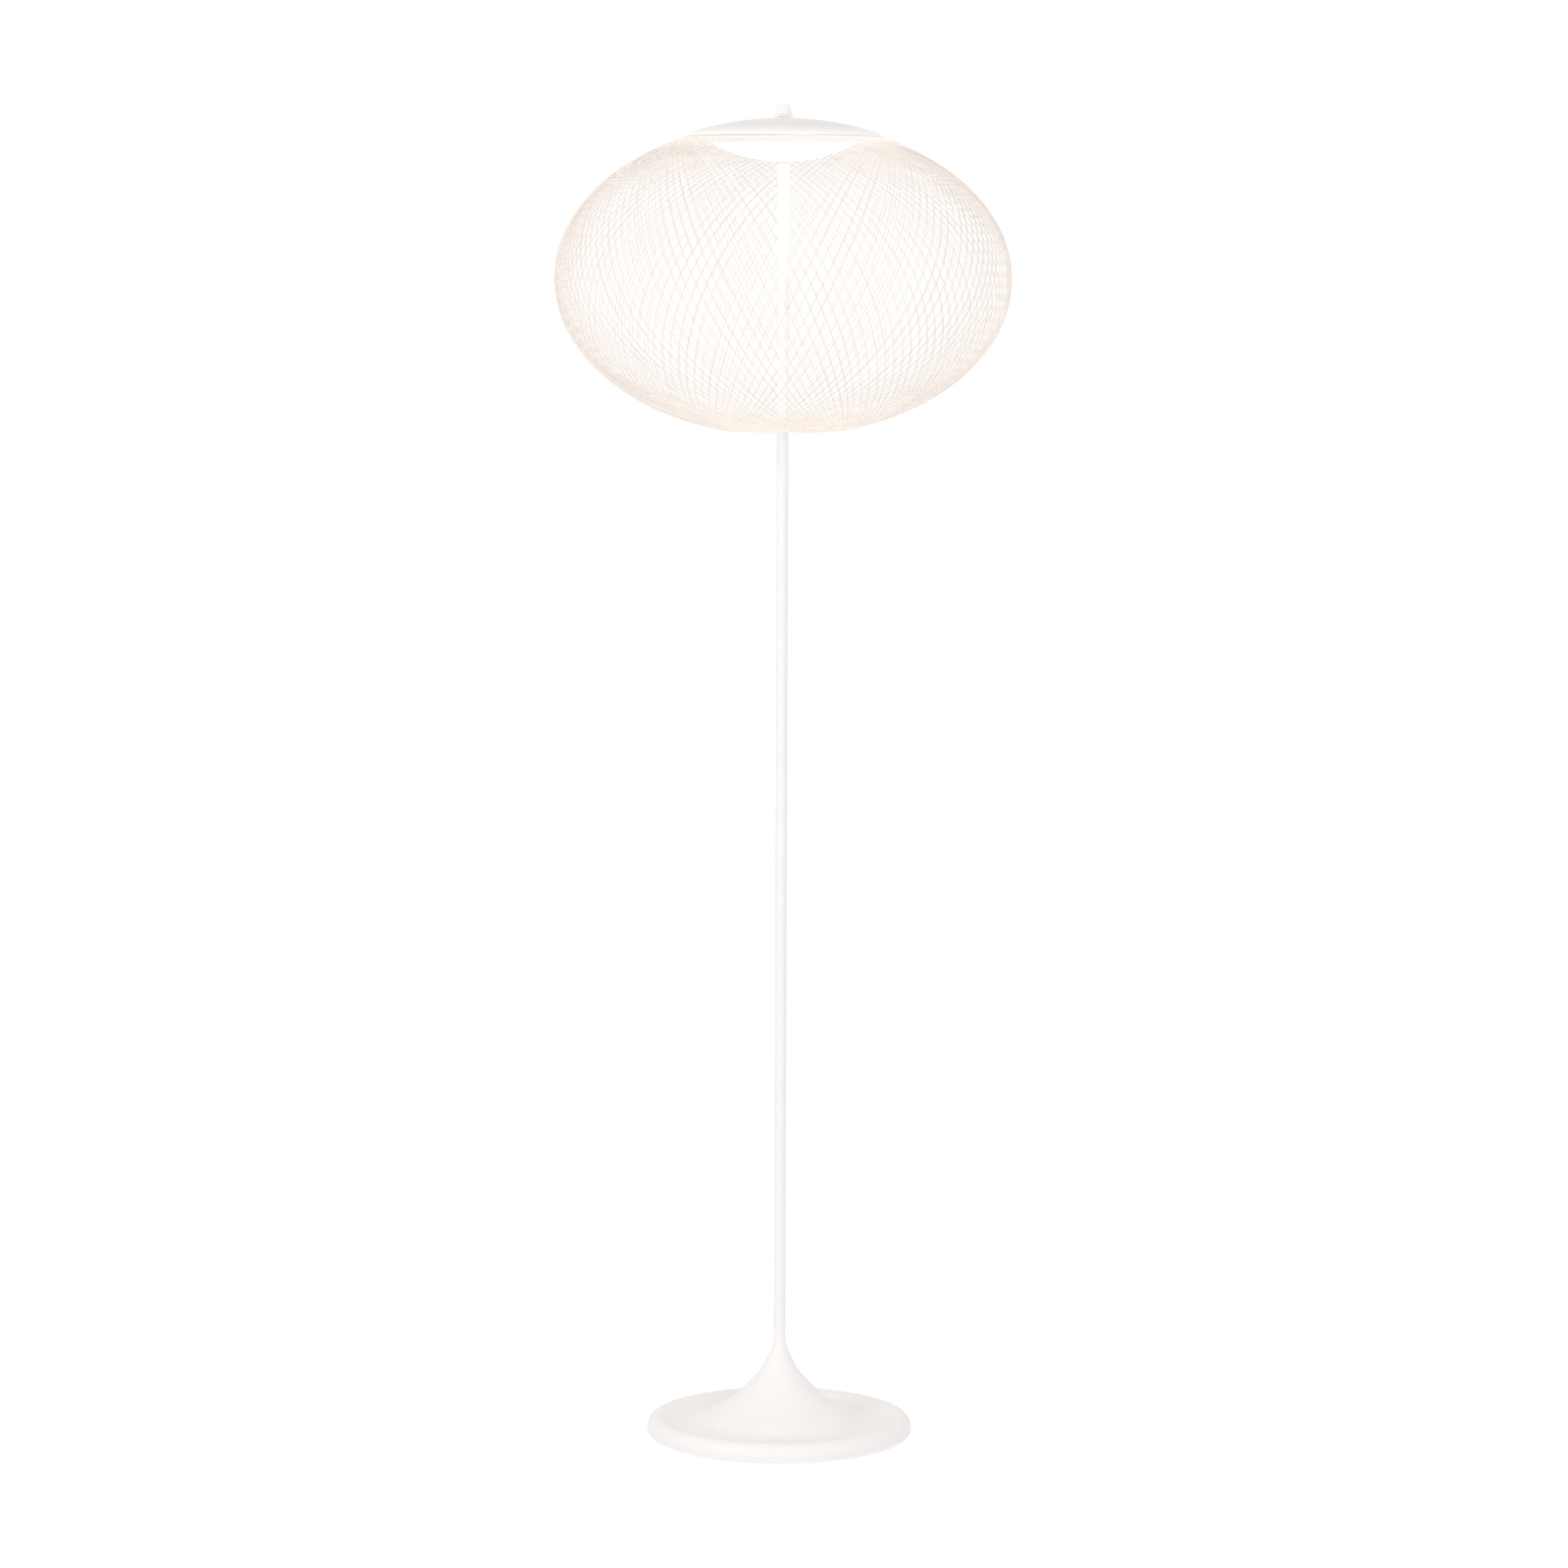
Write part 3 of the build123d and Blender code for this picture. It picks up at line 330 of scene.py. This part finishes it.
# One look for each of the part's material slots
lacquer_white = (0.946, 0.923, 0.915)
nylon_white = (0.92, 0.905, 0.88)
nylon = {"roughness": 0.5, "grain": 1800, "relief": 0.00003}
looks = {
    "white_lacquer": lacquer("white_lacquer", lacquer_white),
    "shade_thread": twisted_thread(
        "shade_thread", pale=(0.92, 0.87, 0.825), warm=(0.83, 0.75, 0.69), glows=thread_painted_glows),
    "opal_bowl": moulded(
        "opal_bowl", (0.95, 0.93, 0.89), roughness=0.30, grain=500, relief=0.00001, spread=0.01,
        Emission_Color=(1.0, 0.95, 0.88, 1), Emission_Strength=4.5),
    # The clear knob has a faint, even painted glow, as if lit from below.
    "clear_knob": moulded(
        "clear_knob", (0.96, 0.955, 0.95), roughness=0.12, grain=900, relief=0.00001, spread=0.01,
        rough_spread=0.03, IOR=1.4, Alpha=0.65, Emission_Color=(1, 0.99, 0.98, 1), Emission_Strength=0.08),
    "white_nylon": moulded("white_nylon", nylon_white, **nylon),
    "dimmer_case": moulded(
        "dimmer_case", (0.045, 0.045, 0.048), roughness=0.45, grain=1600, relief=0.00003, spread=0.1),
    "lead_sheath": moulded("lead_sheath", (0.82, 0.815, 0.80), roughness=0.5, grain=700, relief=0.00004),
    "seal_silicone": moulded("seal_silicone", (0.90, 0.895, 0.87), roughness=0.42, grain=900, relief=0.00002),
    "pad_rubber": moulded(
        "pad_rubber", (0.05, 0.05, 0.05), roughness=0.85, grain=900, relief=0.0001, spread=0.15),
    "plain_steel": metal(
        "plain_steel", (0.62, 0.62, 0.63), roughness=0.32, grain=1200, relief=0.00002, spread=0.05,
        stretch=(1, 1, 0.05)),
    "brass_insert": metal(
        "brass_insert", (0.76, 0.58, 0.30), roughness=0.28, grain=1200, relief=0.00002, spread=0.05,
        stretch=(0.05, 0.05, 1)),
    "cast_aluminium": metal(
        "cast_aluminium", (0.78, 0.79, 0.80), roughness=0.38, grain=800, relief=0.00003, spread=0.04),
    "ballast_iron": moulded(
        "ballast_iron", (0.06, 0.06, 0.065), roughness=0.7, grain=300, relief=0.0003, spread=0.2),
    "board_white": moulded("board_white", (0.90, 0.91, 0.90), roughness=0.35, grain=1500, relief=0.00001),
    "led_yellow": moulded(
        "led_yellow", (0.90, 0.72, 0.22), roughness=0.25, grain=1500, relief=0.00001,
        Emission_Color=(1.0, 0.88, 0.62, 1), Emission_Strength=1.5),
}

# Copies of the common finishes with painted light. The cap's copy is darker and warmer, painted for the
# bowl's warm light on its dome, and glows at its rolled edge; the pole's copy is a little darker and greyer
# and glows inside the net;
# the foot's copy glows on its lowest edge, where it lies in shade. The collar glows evenly to lighten its
# shade under the knob, and the knob's core glows evenly for the bowl's light through it.
own_looks = {
    "foot_shell": lacquer("foot_lacquer_painted_glow", lacquer_white, glows=foot_painted_glows, Emission_Strength=1.0),
    "cap_shell": lacquer("cap_lacquer_painted_light", (0.915, 0.885, 0.872), glows=rim_painted_glows, Emission_Strength=1.0),
    "pole_tube": lacquer("pole_lacquer_painted_glow", (0.918, 0.908, 0.909), glows=pole_painted_glows, Emission_Strength=1.0),
    # The collar's even painted glow lightens its shade under the knob.
    "cap_collar": lacquer(
        "collar_lacquer_painted_glow", (0.935, 0.912, 0.903), Emission_Color=(1.0, 0.98, 0.96, 1), Emission_Strength=0.25),
    # The knob's core has an even painted glow for the bowl's light through it.
    "knob_core": moulded(
        "core_nylon_painted_glow", nylon_white, **nylon, Emission_Color=(1.0, 0.97, 0.93, 1), Emission_Strength=0.22),
}
for part in frame["record"]["subparts"]:
    node = frame["nodes"][part["node"]]
    node.data.materials.clear()
    node.data.materials.append(own_looks.get(part["node"], looks[part["material_slot"]]))

# Wound net: its radius is that of the CAD wall that it replaces. The globe's other sizes are the source's.
shade_radius = float(shade_high[0])
shade_centre = 1.6185
shade_half_height = 0.215
top_ring = 0.1348
bottom_ring = 0.075

# The thread's loops, the points along one loop, and the sides of the thread's round section
loops = 128
stations = 96
thread_sides = 6
thread_radius = 0.0005
layer_gap = 0.0009
surface_gap = 0.0001

# How unevenly the thread lies: apart at the rings, aside from its even place, and steeper at the front
ring_spread = 0.0015
aside_spread = 0.015
middle_steepness = 0.05

# Shares: the first loop's place in a step, the bend at each end of a half loop, and the change of layer
start_share = 0.875
bend_share = 0.2
layer_change = 0.10

# Lashings at the top ring, two for each loop
lashing_radius = 0.0003
lashing_length = 0.026
lashing_tuck = 0.0008
lashing_skew = math.radians(1.5)
lashing_stations = 7


def unit(vectors):
    return vectors / np.linalg.norm(vectors, axis=-1, keepdims=True)


def tubes(name, lines, outward, radius, sides):
    """Tubes along lines of equally many points, as one piece.

    Its UV map holds the length along the tube in metres and the share of the way round it.
    """
    count, rows = lines.shape[:2]
    way = unit(np.gradient(lines, axis=1))
    side = unit(np.cross(way, outward))
    up = np.cross(side, way)
    around = 2 * math.pi * np.arange(sides) / sides
    ring = np.cos(around)[:, None] * side[:, :, None, :] + np.sin(around)[:, None] * up[:, :, None, :]
    points = (lines[:, :, None, :] + radius * ring).reshape(-1, 3)
    first = np.arange(count * rows).reshape(count, rows, 1) * sides
    corner = first[:, :-1] + np.arange(sides)
    beside = first[:, :-1] + (np.arange(sides) + 1) % sides
    quads = np.stack([corner, beside, beside + sides, corner + sides], axis=3).reshape(-1, 4)
    ends = np.concatenate([first[:, 0] + np.arange(sides)[::-1], first[:, -1] + np.arange(sides)])
    mesh = bpy.data.meshes.new(name)
    mesh.from_pydata(points.tolist(), [], quads.tolist() + ends.tolist())

    steps = np.linalg.norm(np.diff(lines, axis=1), axis=2)
    length = np.concatenate([np.zeros((count, 1)), np.cumsum(steps, axis=1)], axis=1)
    near = np.repeat(length[:, :-1].reshape(-1), sides)
    far = np.repeat(length[:, 1:].reshape(-1), sides)
    left = np.tile(np.arange(sides), count * (rows - 1)) / sides
    right = left + 1 / sides
    uv = np.zeros(len(mesh.loops) * 2)
    quad_uv = np.stack([near, left, near, right, far, right, far, left], axis=1).reshape(-1)
    uv[: len(quad_uv)] = quad_uv
    mesh.uv_layers.new(name="along").data.foreach_set("uv", uv)
    mesh.polygons.foreach_set("use_smooth", [True] * len(mesh.polygons))
    mesh.update()
    piece = bpy.data.objects.new(name, mesh)
    scene.collection.objects.link(piece)
    return piece


def wound_line():
    """The thread's one line.

    Each loop lies in a plane, and touches the top ring on one side of the globe and the bottom ring on the
    other. It falls on the outer layer and rises on the inner one. The planes turn evenly.
    """
    chance = np.random.default_rng(7)
    golden_share = (math.sqrt(5) - 1) / 2
    turn = np.arange(loops * stations + 1) / stations
    loop = np.minimum(np.floor(turn).astype(int), loops - 1)
    rising = (turn - loop) >= 0.5
    spread = ring_spread * (np.arange(loops + 1) * golden_share % 1.0)
    top = top_ring + spread[loop + rising] / 2
    bottom = bottom_ring + spread[loop]

    offsets = chance.normal(0.0, aside_spread, 2 * loops)
    knots = (np.arange(2 * loops)[:, None] + [bend_share, 1 - bend_share]).ravel()
    aside = np.interp(2 * turn, knots, np.repeat(offsets, 2))

    outer_depth = thread_radius + surface_gap
    inner_depth = outer_depth + 2 * thread_radius + layer_gap
    swing = np.clip(np.sin(2 * math.pi * turn) / layer_change, -1, 1)
    depth = (outer_depth + inner_depth) / 2 - (inner_depth - outer_depth) / 2 * swing
    half_height = shade_half_height - depth
    radius = shade_radius - depth

    rise_top = half_height * np.sqrt(1 - (top / radius) ** 2)
    rise_bottom = -half_height * np.sqrt(1 - (bottom / radius) ** 2)
    half_fall = (rise_top - rise_bottom) / 2
    lean = (top + bottom) / (rise_top - rise_bottom)
    height = (rise_top + rise_bottom) / 2 + half_fall * np.cos(2 * math.pi * turn)
    across = np.hypot(radius / half_height, lean) * half_fall * np.sin(2 * math.pi * turn)
    out = top - lean * (rise_top - height)
    around = np.arctan2(across, out)
    step = 2 * math.pi * (turn + aside + start_share) / loops
    angle = step + around + middle_steepness * np.sin(2 * around)
    radius = np.hypot(across, out)
    return np.stack([radius * np.cos(angle), radius * np.sin(angle), height + shade_centre], axis=1)


def globe_outward(points):
    """The direction straight out of the globe's surface at each point."""
    outward = points - np.array([0, 0, shade_centre])
    outward[..., 2] *= (shade_radius / shade_half_height) ** 2
    return unit(outward)


def lashing_lines():
    """Short threads that lash the net to the top ring and run a little askew down the globe's shoulder."""
    lashings = 2 * loops
    share = np.linspace(0, 1, lashing_stations)
    out = top_ring - lashing_tuck + lashing_length * share
    angle = 2 * math.pi * np.arange(lashings)[:, None] / lashings + lashing_skew * share
    rise = shade_half_height * np.sqrt(1 - (out / shade_radius) ** 2)
    height = np.broadcast_to(rise + shade_centre, angle.shape)
    return np.stack([out * np.cos(angle), out * np.sin(angle), height], axis=2)


def add_net():
    line = wound_line()[None]
    lashings = lashing_lines()
    net = tubes("thread_net", line, globe_outward(line), thread_radius, thread_sides)
    ties = tubes("thread_lashings", lashings, globe_outward(lashings), lashing_radius, thread_sides)
    for piece in (net, ties):
        piece.data.materials.append(looks["shade_thread"])
        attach(piece, "stand")
        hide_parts("wound_shade")


add_net()


# Return spring: a coil of wire in place of its solid, which is hidden.
def add_return_spring(turns, wire_radius, points_per_turn, wire_sides):
    low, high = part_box("plunger_spring")
    angle = np.linspace(0, 2 * math.pi * turns, points_per_turn * turns + 1)
    across = float(high[0]) - wire_radius
    height = np.linspace(float(low[2]) + wire_radius, float(high[2]) - wire_radius, len(angle))
    line = np.stack([across * np.cos(angle), across * np.sin(angle), height], axis=1)[None]
    outward = np.stack([np.cos(angle), np.sin(angle), 0 * angle], axis=1)[None]
    spring = tubes("return_spring", line, outward, wire_radius, wire_sides)
    spring.data.materials.append(looks["plain_steel"])
    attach(spring, "stand")
    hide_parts("plunger_spring")
    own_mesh(spring)


add_return_spring(turns=3, wire_radius=0.00035, points_per_turn=48, wire_sides=12)
